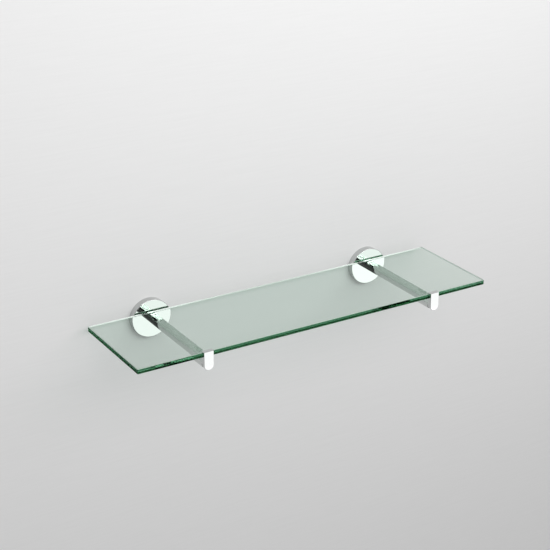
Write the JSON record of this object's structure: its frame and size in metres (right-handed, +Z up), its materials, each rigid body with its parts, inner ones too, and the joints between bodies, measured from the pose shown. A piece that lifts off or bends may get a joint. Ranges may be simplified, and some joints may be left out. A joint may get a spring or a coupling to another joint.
{
  "type": "wall shelf with brackets",
  "caption": "Clear glass wall shelf resting on round chromed bars, each with a round cover at the wall and an upright stop plate in front of the glass.",
  "frame": {"origin": "on the wall plane, midway between the brackets, at the height of the bars' axes; this is the centre of the pattern of four wall screws", "axes": "+Z up, +Y into the wall, +X to the right for a viewer who faces the wall"},
  "size_m": [0.45, 0.1731, 0.0486],
  "materials": {
    "clear_glass": "polished float glass with ground arrises, green at the edges",
    "chrome_plate": "mirror polished chrome on brass",
    "zinc_plated_steel": "dull bright zinc plating",
    "stainless_steel": "plain stainless fasteners",
    "clear_silicone": "clear soft silicone"
  },
  "bodies": {
    "brackets": {"rosette_left": "chrome_plate", "bar_left": "chrome_plate", "front_stop_left": "chrome_plate", "wall_plate_left": "zinc_plated_steel", "stop_stud_left": "stainless_steel", "bar_screw_left": "stainless_steel", "bar_washer_left": "stainless_steel", "grub_screw_left": "stainless_steel", "wall_screws_left": "stainless_steel", "seat_pads_left": "clear_silicone", "stop_buffer_left": "clear_silicone", "rosette_right": "chrome_plate", "bar_right": "chrome_plate", "front_stop_right": "chrome_plate", "wall_plate_right": "zinc_plated_steel", "stop_stud_right": "stainless_steel", "bar_screw_right": "stainless_steel", "bar_washer_right": "stainless_steel", "grub_screw_right": "stainless_steel", "wall_screws_right": "stainless_steel", "seat_pads_right": "clear_silicone", "stop_buffer_right": "clear_silicone"},
    "glass": {"glass_shelf": "clear_glass"}
  },
  "joints": [
    {"name": "glass_lift", "type": "slide", "parent": "brackets", "child": "glass", "axis": [0, 0, 1], "range_m": [0, 0.03]}
  ]
}
